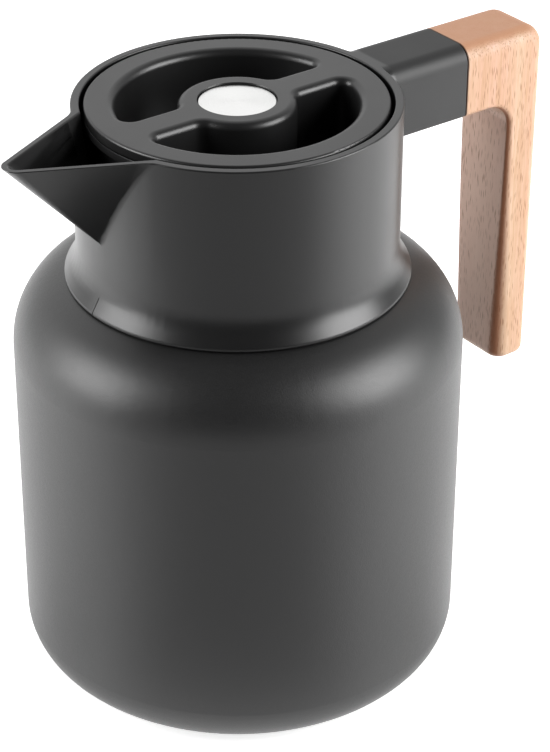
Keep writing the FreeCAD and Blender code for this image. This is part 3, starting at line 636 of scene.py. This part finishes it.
class Bench:
    """Modelling steps that the sub-assemblies share, each on one new piece."""

    def __init__(self, made: bpy.types.Object) -> None:
        """Takes up a piece and makes it the only selected one."""
        self.made = made
        self.take_up()

    def take_up(self) -> None:
        """Makes the piece the active and only selected one."""
        bpy.ops.object.select_all(action="DESELECT")
        self.made.select_set(True)
        bpy.context.view_layer.objects.active = self.made

    def enter(self) -> None:
        """Opens edit mode with the whole piece selected."""
        bpy.ops.object.mode_set(mode="EDIT")
        bpy.ops.mesh.select_all(action="SELECT")

    def leave(self) -> None:
        """Goes back to object mode."""
        bpy.ops.object.mode_set(mode="OBJECT")

    def apply(self, kind: str, **settings: Any) -> None:
        """Puts a modifier on the piece and applies it.

        Args:
            kind: type of the modifier.
            settings: its properties.
        """
        added = self.made.modifiers.new(kind, kind)
        for key, setting in settings.items():
            setattr(added, key, setting)
        bpy.ops.object.modifier_apply(modifier=added.name)

    @classmethod
    def from_node(cls, node: str, name: str, size: float = 0.0, segments: int = 2) -> "Bench":
        """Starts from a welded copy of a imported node, with its flat faces made whole.

        Args:
            node: node to copy.
            name: name of the new piece.
            size: width of the rounding of its clear edges, if any.
            segments: steps of that rounding.

        Returns:
            The bench with the new piece.
        """
        made = bpy.data.objects.new(name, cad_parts[node].data.copy())
        bpy.context.scene.collection.objects.link(made)
        bench = cls(made)
        bench.enter()
        bpy.ops.mesh.customdata_custom_splitnormals_clear()
        bpy.ops.mesh.remove_doubles(threshold=WELD)
        bpy.ops.mesh.mark_sharp(clear=True)
        bench.join_flats()
        if size:
            bench.soften(size, segments)
        return bench

    @classmethod
    def from_outline(cls, name: str, corners: Sequence[Point]) -> "Bench":
        """Starts from a closed outline of (radius, height) corners beside the axis.

        Args:
            name: name of the new piece.
            corners: corners of the outline in metres.

        Returns:
            The bench with the outline.
        """
        bpy.ops.mesh.primitive_plane_add(size=MM, location=(0, 0, 0))
        bench = cls(bpy.context.object)
        bench.made.name = name
        bench.enter()
        bpy.ops.mesh.select_mode(type="VERT")
        bpy.ops.mesh.merge(type="CENTER")
        bpy.ops.transform.translate(value=(corners[0][0], 0, corners[0][1]))
        for here, there in zip(corners, [*corners[1:], corners[0]]):
            step = (there[0] - here[0], 0, there[1] - here[1])
            bpy.ops.mesh.extrude_vertices_move(TRANSFORM_OT_translate={"value": step})
        bpy.ops.mesh.select_all(action="SELECT")
        bpy.ops.mesh.remove_doubles(threshold=WELD)
        bench.leave()
        return bench

    def join_flats(self) -> None:
        """Makes faces that lie in one plane whole."""
        self.enter()
        bpy.ops.mesh.dissolve_limited(angle_limit=FLAT_ANGLE)
        self.leave()

    def face_outward(self) -> None:
        """Merges doubles and turns every face outward."""
        self.enter()
        bpy.ops.mesh.remove_doubles(threshold=WELD)
        bpy.ops.mesh.normals_make_consistent()
        self.leave()

    def pick(self, kind: Part, wanted: Callable[[Any], bool]) -> int:
        """Opens edit mode with only the wanted edges or faces selected.

        Args:
            kind: which of the two.
            wanted: test on one of them.

        Returns:
            How many are selected.
        """
        bpy.ops.object.mode_set(mode="EDIT")
        bpy.ops.mesh.select_mode(type=kind.value)
        bpy.ops.mesh.select_all(action="DESELECT")
        net = bmesh.from_edit_mesh(self.made.data)
        chosen = [part for part in (net.edges if kind is Part.EDGES else net.faces) if wanted(part)]
        for part in chosen:
            part.select_set(True)
        bmesh.update_edit_mesh(self.made.data)
        return len(chosen)

    def slice(self, wanted: Callable[[Face], bool], place: Sequence[float], normal: Sequence[float]) -> None:
        """Cuts the wanted faces along a plane.

        Args:
            wanted: test on one face.
            place: point on the plane.
            normal: the plane's normal.
        """
        self.pick(Part.FACES, wanted)
        bpy.ops.mesh.bisect(plane_co=tuple(place), plane_no=tuple(normal))
        self.leave()

    def round_edges(self, size: float, segments: int, wanted: Callable[[Edge], bool],
                    slide: bool = True) -> None:
        """Bevels the wanted edges.

        Args:
            size: width of the bevel on each side.
            segments: steps of the rounding.
            wanted: test on one edge.
            slide: keeps to edges that end at the bevel, instead of an even width.
        """
        found = self.pick(Part.EDGES, wanted)
        if found:
            bpy.ops.mesh.bevel(offset=size, segments=segments, loop_slide=slide)
        self.leave()
        LOG.info("%s: %d edges rounded by %.2f mm", self.made.name, found, size / MM)

    def soften(self, size: float, segments: int = 2) -> None:
        """Rounds every clear edge of a simple piece."""
        self.apply("BEVEL", limit_method="ANGLE", angle_limit=EASED_ANGLE, width=size, segments=segments)

    def cut(self, tool: bpy.types.Object) -> None:
        """Takes a tool's shape out of the piece and removes the tool.

        Args:
            tool: object to cut with.
        """
        self.take_up()
        self.apply("BOOLEAN", operation="DIFFERENCE", solver="EXACT", object=tool)
        bpy.data.objects.remove(tool)

    def hand_over(self, finish: Finish, body: Body, slot: Slot, *nodes: str) -> None:
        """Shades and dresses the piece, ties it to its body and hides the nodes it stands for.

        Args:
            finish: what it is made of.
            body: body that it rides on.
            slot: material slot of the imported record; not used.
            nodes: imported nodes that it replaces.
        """
        self.take_up()
        bpy.ops.object.shade_smooth_by_angle(angle=SHARP_ANGLE)
        self.apply("WEIGHTED_NORMAL", keep_sharp=True)
        self.made.data.materials.clear()
        self.made.data.materials.append(finish.material())
        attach(self.made, body.value)
        if nodes:
            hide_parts(*nodes)
        LOG.info("piece %s rides on %s", self.made.name, body.value)


@dataclass
class Collar:
    """Black moulding over the neck, with its spout and the handle's arm."""

    rim_height: float = 178.0 * MM
    rim_round: float = 0.45 * MM
    rim_turn: float = 35.0
    wall_radius: float = 46.0 * MM
    foot_height: float = 127.2 * MM
    foot_round: float = 0.35 * MM
    seam_x: float = 74.05 * MM
    seam_round: float = 0.4 * MM
    line_width: float = 0.26 * MM
    line_depth: float = 0.22 * MM
    line_top: float = 131.0 * MM
    line_reach: float = 12.0 * MM
    line_facing: float = -0.05

    def on_rim(self, edge: Edge) -> bool:
        """True for the sharp edges round the rim and the spout."""
        return lies_at(edge, Axis.Z, self.rim_height) and turn_at(edge) > self.rim_turn

    def on_foot(self, edge: Edge) -> bool:
        """True for the edges of the flared foot."""
        spot = middle(edge)
        return spot.z < self.foot_height and reach(spot) > self.wall_radius and turn_at(edge) > CLEAR_TURN

    def on_seam(self, edge: Edge) -> bool:
        """True for the edges of the arm's end, where the wood starts."""
        return lies_at(edge, Axis.X, self.seam_x) and turn_at(edge) > CLEAR_TURN

    def on_flare(self, face: Face) -> bool:
        """True for the flare's outside on the spout's side."""
        spot = face.calc_center_median()
        return (spot.x < -self.wall_radius / 2 and self.foot_height - MM < spot.z < self.line_top + MM
                and reach(spot) > self.wall_radius and abs(spot.y) < self.line_reach)

    def on_line(self, face: Face) -> bool:
        """True for the strip that the parting line sinks."""
        return (self.on_flare(face) and face.normal.x < self.line_facing
                and face.calc_center_median().z < self.line_top
                and all(abs(corner.co.y) < self.line_width / 2 + WELD for corner in face.verts))

    def cut_parting_line(self, bench: Bench) -> None:
        """Sinks the mould's parting line into the flare under the spout.

        Args:
            bench: bench with the collar.
        """
        half = self.line_width / 2
        for place, normal in (((0, half, 0), (0, 1, 0)), ((0, -half, 0), (0, 1, 0)),
                              ((0, 0, self.line_top), (0, 0, 1))):
            bench.slice(self.on_flare, place, normal)
        if bench.pick(Part.FACES, self.on_line):
            bpy.ops.mesh.extrude_region_move(TRANSFORM_OT_translate={"value": (self.line_depth, 0, 0)})
        bench.leave()

    def build(self) -> None:
        """Builds the collar with eased edges."""
        bench = Bench.from_node("collar", "collar_moulding")
        bench.round_edges(self.rim_round, 3, self.on_rim)
        bench.round_edges(self.foot_round, 2, self.on_foot)
        bench.round_edges(self.seam_round, 2, self.on_seam)
        self.cut_parting_line(bench)
        bench.hand_over(COLLAR_SATIN, Body.JUG, Slot.COLLAR, "collar")


@dataclass
class Thread:
    """Ridge of a screw thread, bedded a little in the wall that carries it."""

    name: str
    root: float
    crest: float
    low: float
    turns: float
    pitch: float = 5.0 * MM
    foot_width: float = 2.2 * MM
    crest_from: float = 0.7 * MM
    crest_to: float = 1.5 * MM

    def build(self) -> Bench:
        """Carries the ridge's outline up a helix and closes both ends.

        Returns:
            The bench with the ridge.
        """
        outline = [(self.root, self.low), (self.root, self.low + self.foot_width),
                   (self.crest, self.low + self.crest_to), (self.crest, self.low + self.crest_from)]
        bench = Bench.from_outline(self.name, outline)
        steps = round(self.turns * RIDGE_STEPS)
        rise = self.turns * self.pitch
        bench.apply("SCREW", angle=self.turns * FULL_TURN, screw_offset=rise, steps=steps, render_steps=steps)
        halfway = sum(corner[1] for corner in outline) / len(outline) + rise / 2
        for below in (True, False):
            bench.pick(Part.EDGES, lambda edge: edge.is_boundary and (middle(edge).z < halfway) == below)
            bpy.ops.mesh.edge_face_add()
            bench.leave()
        bench.face_outward()
        return bench


@dataclass
class Neck:
    """Ring nut in the neck with its thread, and the gaskets round it."""

    bore: float = 30.5 * MM
    bore_slack: float = 0.1 * MM
    thread_bore: float = 31.1 * MM
    thread_low: float = 125.2 * MM
    thread_high: float = 142.6 * MM
    thread_start: float = 1.6 * MM
    thread_bed: float = 0.2 * MM
    ramp: float = 0.4 * MM
    crest: float = 30.48 * MM
    turns: float = 2.2
    edge_round: float = 0.35 * MM
    gasket_round: float = 0.4 * MM

    def in_bore(self, face: Face) -> bool:
        """True for a face of the bore's wall."""
        return all(reach(corner.co) < self.bore + self.bore_slack for corner in face.verts)

    def in_thread(self, face: Face) -> bool:
        """True for the part of the bore where the thread runs."""
        return self.in_bore(face) and self.thread_low < face.calc_center_median().z < self.thread_high

    def widen_bore(self, bench: Bench) -> None:
        """Opens the bore where the thread runs.

        Args:
            bench: bench with the ring nut.
        """
        for height in (self.thread_low - self.ramp, self.thread_low, self.thread_high,
                       self.thread_high + self.ramp):
            bench.slice(self.in_bore, (0, 0, height), (0, 0, 1))
        bench.pick(Part.FACES, self.in_thread)
        wider = self.thread_bore / self.bore
        bpy.ops.transform.resize(value=(wider, wider, 1), center_override=(0, 0, 0))
        bench.leave()

    def build(self) -> None:
        """Builds the ring nut, its thread and the two gaskets."""
        ring = Bench.from_node("neck_ring", "neck_ring_nut", self.edge_round)
        self.widen_bore(ring)
        ring.hand_over(NECK_SATIN, Body.JUG, Slot.NECK, "neck_ring")
        thread = Thread("neck_thread", self.thread_bore + self.thread_bed, self.crest,
                        self.thread_low + self.thread_start, self.turns)
        thread.build().hand_over(NECK_SATIN, Body.JUG, Slot.NECK)
        for node in ("neck_gasket", "collar_gasket"):
            gasket = Bench.from_node(node, f"{node}_ring", self.gasket_round, 3)
            gasket.hand_over(SEAL_WHITE, Body.JUG, Slot.SEAL, node)


@dataclass
class Foot:
    """Plastic base cover and the silicone pad that the jug stands on."""

    cap_round: float = 0.4 * MM
    pad_round: float = 0.2 * MM
    groove_radii: tuple[float, ...] = (38.0 * MM, 32.0 * MM, 26.0 * MM)
    groove_width: float = 1.4 * MM
    groove_depth: float = 0.5 * MM

    def build(self) -> None:
        """Builds the base cover and the pad with its grip grooves."""
        cap = Bench.from_node("base_cap", "base_cover", self.cap_round)
        cap.hand_over(BASE_SPARK, Body.JUG, Slot.BASE, "base_cap")
        pad = Bench.from_node("foot_pad", "foot_pad_grooved")
        for radius in self.groove_radii:
            inner = radius - self.groove_width
            tool = Bench.from_outline("groove", [
                (inner, -MM), (radius, -MM), (radius, self.groove_depth), (inner, self.groove_depth)])
            tool.apply("SCREW", steps=RING_STEPS, render_steps=RING_STEPS, use_merge_vertices=True)
            tool.face_outward()
            pad.cut(tool.made)
        pad.soften(self.pad_round, 3)
        pad.hand_over(FOOT_BLACK, Body.JUG, Slot.FOOT, "foot_pad")


@dataclass
class Handle:
    """Beech grip with an eased seam, and the two screws under it with cross recesses."""

    seam_x: float = 74.17 * MM
    seam_round: float = 0.4 * MM
    seam_middle: float = 167.0 * MM
    mortise_reach: float = 8.0 * MM
    place_x: float = 81.05 * MM
    offset_y: float = 3.8 * MM
    head_low: float = 156.8 * MM
    head_round: float = 0.3 * MM
    slot_length: float = 3.4 * MM
    slot_width: float = 0.85 * MM
    slot_depth: float = 1.1 * MM

    def cutter(self, side: float, turned: bool) -> bpy.types.Object:
        """Bar that cuts one arm of a cross recess.

        Args:
            side: which screw, -1 or 1.
            turned: True for the arm across the first one.

        Returns:
            The bar.
        """
        bpy.ops.mesh.primitive_cube_add(size=1, location=(self.place_x, side * self.offset_y, self.head_low))
        bar = bpy.context.object
        long, short = self.slot_length, self.slot_width
        bar.scale = (short if turned else long, long if turned else short, 2 * self.slot_depth)
        bpy.ops.object.transform_apply()
        return bar

    def on_seam(self, edge: Edge) -> bool:
        """True for the outer edges of the wood where it meets the arm."""
        spot = middle(edge)
        inside = max(abs(spot.y), abs(spot.z - self.seam_middle)) < self.mortise_reach
        return lies_at(edge, Axis.X, self.seam_x) and not inside and turn_at(edge) > CLEAR_TURN

    def build(self) -> None:
        """Builds the grip and both screws."""
        grip = Bench.from_node("handle_grip", "handle_grip_eased")
        grip.round_edges(self.seam_round, 2, self.on_seam)
        grip.hand_over(BEECH, Body.JUG, Slot.BEECH, "handle_grip")
        screws = Bench.from_node("handle_screws", "handle_screws_crossed", self.head_round)
        for side in (-1.0, 1.0):
            for turned in (False, True):
                screws.cut(self.cutter(side, turned))
        screws.hand_over(SCREW_ZINC, Body.JUG, Slot.SCREW, "handle_screws")


@dataclass
class Stopper:
    """Fixed half of the stopper: cup, threaded tube, guide and gasket."""

    cup_round: float = 0.3 * MM
    guide_round: float = 0.3 * MM
    gasket_round: float = 0.4 * MM
    tube_radius: float = 29.8 * MM
    thread_bed: float = 0.2 * MM
    thread_low: float = 127.0 * MM
    crest: float = 30.36 * MM
    turns: float = 2.4

    def build(self) -> None:
        """Builds the softened pieces and the tube's thread."""
        cup = Bench.from_node("stopper_cup", "stopper_cup_moulding", self.cup_round)
        cup.hand_over(STOPPER_SATIN, Body.STOPPER, Slot.STOPPER, "stopper_cup")
        thread = Thread("stopper_thread", self.tube_radius - self.thread_bed, self.crest,
                        self.thread_low, self.turns)
        thread.build().hand_over(STOPPER_SATIN, Body.STOPPER, Slot.STOPPER)
        guide = Bench.from_node("stem_guide", "stem_guide_moulding", self.guide_round)
        guide.hand_over(DRIVE_WHITE, Body.STOPPER, Slot.DRIVE, "stem_guide")
        gasket = Bench.from_node("stopper_gasket", "stopper_gasket_ring", self.gasket_round, 3)
        gasket.hand_over(SEAL_WHITE, Body.STOPPER, Slot.SEAL, "stopper_gasket")


@dataclass
class TurnGrip:
    """Turning top of the stopper, with rolled edges round its finger wells."""

    top: float = 178.0 * MM
    well_floor: float = 160.7 * MM
    hub_reach: float = 12.5 * MM
    well_reach: float = 36.2 * MM
    packed_round: float = 1.3 * MM
    rolled_round: float = 2.25 * MM
    round_steps: int = 10
    edge_turn: float = 60.0
    tool_over: float = 2.0 * MM

    def in_ring(self, point: Vector) -> bool:
        """True for a point between the hub's disc and the rim."""
        return self.hub_reach < reach(point) < self.well_reach

    def of_well(self, face: Face) -> bool:
        """True for the faces of a well: its floor, its wall and its rounded edge."""
        return all(corner.co.z > self.well_floor - WELD and self.in_ring(corner.co)
                   for corner in face.verts)

    def on_floor(self, face: Face) -> bool:
        """True for the floor of a well."""
        return self.of_well(face) and lies_at(face, Axis.Z, self.well_floor)

    def on_edge(self, edge: Edge) -> bool:
        """True for the sharp edge round a well."""
        flat = lies_at(edge, Axis.Z, self.top) and self.in_ring(middle(edge))
        return flat and turn_at(edge) > self.edge_turn

    def take_wells(self, grip: Bench) -> bpy.types.Object:
        """Fills the wells and gives the tool that cuts them again, narrower by the wider rounding.

        Args:
            grip: bench with the turn grip.

        Returns:
            The tool.
        """
        grip.pick(Part.FACES, self.on_floor)
        bpy.ops.mesh.duplicate()
        bpy.ops.mesh.separate(type="SELECTED")
        grip.pick(Part.FACES, self.of_well)
        bpy.ops.mesh.delete(type="FACE")
        bpy.ops.mesh.select_all(action="SELECT")
        bpy.ops.mesh.fill_holes(sides=0)
        grip.join_flats()
        tool = next(other for other in bpy.context.selected_objects if other is not grip.made)
        wells = Bench(tool)
        wells.enter()
        bpy.ops.mesh.inset(thickness=self.rolled_round - self.packed_round, use_even_offset=True)
        bpy.ops.mesh.select_all(action="INVERT")
        bpy.ops.mesh.delete(type="FACE")
        bpy.ops.mesh.select_all(action="SELECT")
        height = self.top - self.well_floor + self.tool_over
        bpy.ops.mesh.extrude_region_move(TRANSFORM_OT_translate={"value": (0, 0, height)})
        wells.face_outward()
        return tool

    def roll(self, grip: Bench) -> None:
        """Rounds the edges of the wells and closes the flat top between them again.

        Args:
            grip: bench with the turn grip.
        """
        grip.round_edges(self.rolled_round, self.round_steps, self.on_edge, slide=False)
        if grip.pick(Part.FACES, lambda face: lies_at(face, Axis.Z, self.top)):
            bpy.ops.mesh.delete(type="FACE")
            grip.pick(Part.EDGES, lambda edge: edge.is_boundary)
            bpy.ops.mesh.fill()
        grip.face_outward()

    def build(self) -> None:
        """Builds the grip with its wells' edges rolled."""
        grip = Bench.from_node("turn_grip", "turn_grip_rolled")
        grip.cut(self.take_wells(grip))
        grip.join_flats()
        self.roll(grip)
        grip.hand_over(LID_SATIN, Body.GRIP, Slot.GRIP, "turn_grip")


@dataclass
class Valve:
    """Moving valve under the stopper: plug, cap and sealing ring."""

    plug_round: float = 0.6 * MM
    cap_round: float = 0.4 * MM
    seal_round: float = 0.4 * MM

    def build(self) -> None:
        """Builds the softened pieces."""
        for node, size, finish, slot in (
                ("valve_plug", self.plug_round, STOPPER_SATIN, Slot.STOPPER),
                ("valve_cap", self.cap_round, STOPPER_SATIN, Slot.STOPPER),
                ("valve_seal", self.seal_round, SEAL_WHITE, Slot.SEAL)):
            bench = Bench.from_node(node, f"{node}_moulding", size, 3)
            bench.hand_over(finish, Body.VALVE, slot, node)


@dataclass
class Softbox:
    """Rectangular studio lamp, placed round the jug as the camera sees it."""

    name: str
    azimuth: float
    elevation: float
    distance: float
    width: float
    height: float
    power: float


@dataclass
class Studio:
    """Camera, white sweep and soft light. Bands of the floor are in metres or radians."""

    camera_place: Vector
    camera_forward: Vector
    camera_roll: float
    lens: float
    clip: Point = (0.05, 50.0)
    back_light: float = 1.1
    front_light: float = 0.05
    back_band: Point = (-0.1, 0.6)
    right_light: float = 0.3
    right_band: Point = (0.0, 0.9)
    floor_size: float = 6.0
    floor_color: Color = (0.92, 0.92, 0.92)
    floor_front: Color = (0.60, 0.60, 0.60)
    floor_roughness: float = 0.38
    floor_ior: float = 1.5
    floor_seen: float = 0.7
    front_bearing: Point = (0.35, 0.95)
    front_spread: Point = (0.60, 0.75)
    far_band: Point = (0.21, 0.30)
    foot_band: Point = (0.07, 0.105)
    foot_glow: float = 0.7
    glow_bearing: Point = (0.9, 1.9)
    glow_range: Point = (0.2, 1.0)

    def axes(self) -> tuple[Vector, Vector, Vector]:
        """Directions of the camera.

        Returns:
            Right, up and forward.
        """
        forward = self.camera_forward.normalized()
        level_right = forward.cross(UP).normalized()
        level_up = level_right.cross(forward)
        turn = math.radians(self.camera_roll)
        right = math.cos(turn) * level_right + math.sin(turn) * level_up
        return right, right.cross(forward), forward

    def set_camera(self) -> None:
        """Puts the camera where the jug looks as it should."""
        right, up, forward = self.axes()
        data = bpy.data.cameras.new("camera")
        data.lens = self.lens
        data.clip_start, data.clip_end = self.clip
        camera = bpy.data.objects.new("camera", data)
        turn = Matrix((right, up, -forward)).transposed().to_4x4()
        camera.matrix_world = Matrix.Translation(self.camera_place) @ turn
        bpy.context.scene.collection.objects.link(camera)
        bpy.context.scene.camera = camera

    def towards(self, azimuth: float, elevation: float = 0.0) -> Vector:
        """Direction from the jug.

        Args:
            azimuth: degrees from the camera's side, positive to its right.
            elevation: degrees above the floor.

        Returns:
            Unit vector.
        """
        right, _, forward = self.axes()
        near = Vector((-forward.x, -forward.y, 0)).normalized()
        side = Vector((right.x, right.y, 0)).normalized()
        turn, tilt = math.radians(azimuth), math.radians(elevation)
        level = math.cos(turn) * near + math.sin(turn) * side
        return math.cos(tilt) * level + math.sin(tilt) * UP

    def add_softbox(self, box: Softbox) -> None:
        """Hangs one lamp that faces the jug.

        Args:
            box: its place, size and power.
        """
        data = bpy.data.lights.new(box.name, "AREA")
        data.shape = "RECTANGLE"
        data.size = box.width
        data.size_y = box.height
        data.energy = box.power
        lamp = bpy.data.objects.new(box.name, data)
        away = self.towards(box.azimuth, box.elevation)
        centre = Vector((0, 0, (CAD_BOX[0].z + CAD_BOX[1].z) / 2))
        facing = away.to_track_quat("Z", "Y").to_matrix().to_4x4()
        lamp.matrix_world = Matrix.Translation(centre + away * box.distance) @ facing
        bpy.context.scene.collection.objects.link(lamp)

    def set_world(self) -> None:
        """White room that is bright behind the jug and dim in front of it and to its right."""
        world = bpy.data.worlds.new("studio")
        world.use_nodes = True
        bpy.context.scene.world = world
        graph = Graph(world.node_tree)
        where = graph.node("TexCoord").outputs["Generated"]
        behind = graph.vector("DOT_PRODUCT", where, tuple(-self.towards(0.0)))
        aside = graph.vector("DOT_PRODUCT", where, tuple(self.towards(90.0)))
        depth = graph.ranged(behind, self.back_band, (self.front_light, self.back_light), smooth=True)
        room = graph.math("MULTIPLY", depth, graph.ranged(aside, self.right_band, (1.0, self.right_light)))
        seen = graph.node("LightPath").outputs["Is Camera Ray"]
        graph.wire(world.node_tree.nodes["Background"], {
            "Color": WHITE,
            "Strength": graph.math("MAXIMUM", room, seen),
        })

    def lay_floor(self) -> None:
        """White floor that keeps the jug's shadow; in reflections only it is painted dimmer in front of the
        jug and glows brighter behind it, to its sides and round its foot.
        """
        bpy.ops.mesh.primitive_plane_add(size=self.floor_size, location=(0, 0, CAD_BOX[0].z))
        floor = bpy.context.object
        floor.name = "floor"
        made = bpy.data.materials.new("floor_white")
        made.use_nodes = True
        graph = Graph(made.node_tree)
        where = graph.place()
        ahead, aside = (graph.vector("DOT_PRODUCT", where, tuple(self.towards(turn))) for turn in (0.0, 90.0))
        bearing = graph.math("ARCTAN2", graph.math("ABSOLUTE", aside), ahead)
        distance = graph.vector("LENGTH", where)
        far = graph.ranged(distance, self.far_band, smooth=True)
        foot = graph.ranged(distance, self.foot_band, FALL, smooth=True)
        front = [graph.math("MULTIPLY_ADD", far, more, base)
                 for more, base in zip(self.front_spread, self.front_bearing)]
        shade = graph.ranged(bearing, front, smooth=True)
        path = graph.node("LightPath").outputs
        mirrored = graph.math("ADD", path["Is Glossy Ray"], path["Is Transmission Ray"])
        # Painted shade in reflections: glossy and transmission rays see the darker front colour in front of
        # the jug.
        lit = graph.math("MAXIMUM", graph.math("MAXIMUM", shade, foot), graph.math("SUBTRACT", 1.0, mirrored))
        # Painted reflection: the floor glows only for glossy and transmission rays, brighter behind, to the
        # sides and round the foot.
        glow = graph.ranged(bearing, self.glow_bearing, self.glow_range, smooth=True)
        glow = graph.math("MAXIMUM", graph.math("MULTIPLY", glow, shade),
                          graph.math("MULTIPLY", foot, self.foot_glow))
        glow = graph.math("MULTIPLY", glow, mirrored)
        graph.wire(made.node_tree.nodes["Principled BSDF"], {
            "Base Color": graph.mixed(lit, self.floor_front, self.floor_color),
            "Roughness": self.floor_roughness,
            "IOR": self.floor_ior,
            "Emission Color": WHITE,
            "Emission Strength": graph.math("MULTIPLY_ADD", path["Is Camera Ray"], self.floor_seen, glow),
        })
        floor.data.materials.append(made)

    def build(self, lamps: Sequence[Softbox]) -> None:
        """Sets up the whole studio.

        Args:
            lamps: the lamps to hang.
        """
        bpy.context.scene.view_settings.view_transform = "Standard"
        self.set_camera()
        self.set_world()
        self.lay_floor()
        for lamp in lamps:
            self.add_softbox(lamp)


def main() -> None:
    """Dresses the jug and sets up the studio."""
    logging.basicConfig(level=logging.INFO, format="%(message)s")
    dress_nodes()
    for assembly in (Foot(), Collar(), Neck(), Handle(), Stopper(), TurnGrip(), Valve()):
        assembly.build()
    studio = Studio(
        camera_place=Vector((-0.36441, -0.50680, 0.46135)),
        camera_forward=Vector((0.5133, 0.6887, -0.5120)),
        camera_roll=0.23,
        lens=118.63,
    )
    studio.build([
        Softbox("left_softbox", -78.0, 22.0, 1.2, 0.75, 0.80, 13.0),
        Softbox("right_softbox", 76.0, 23.0, 1.2, 0.80, 0.80, 17.0),
    ])


if __name__ == "__main__":
    main()
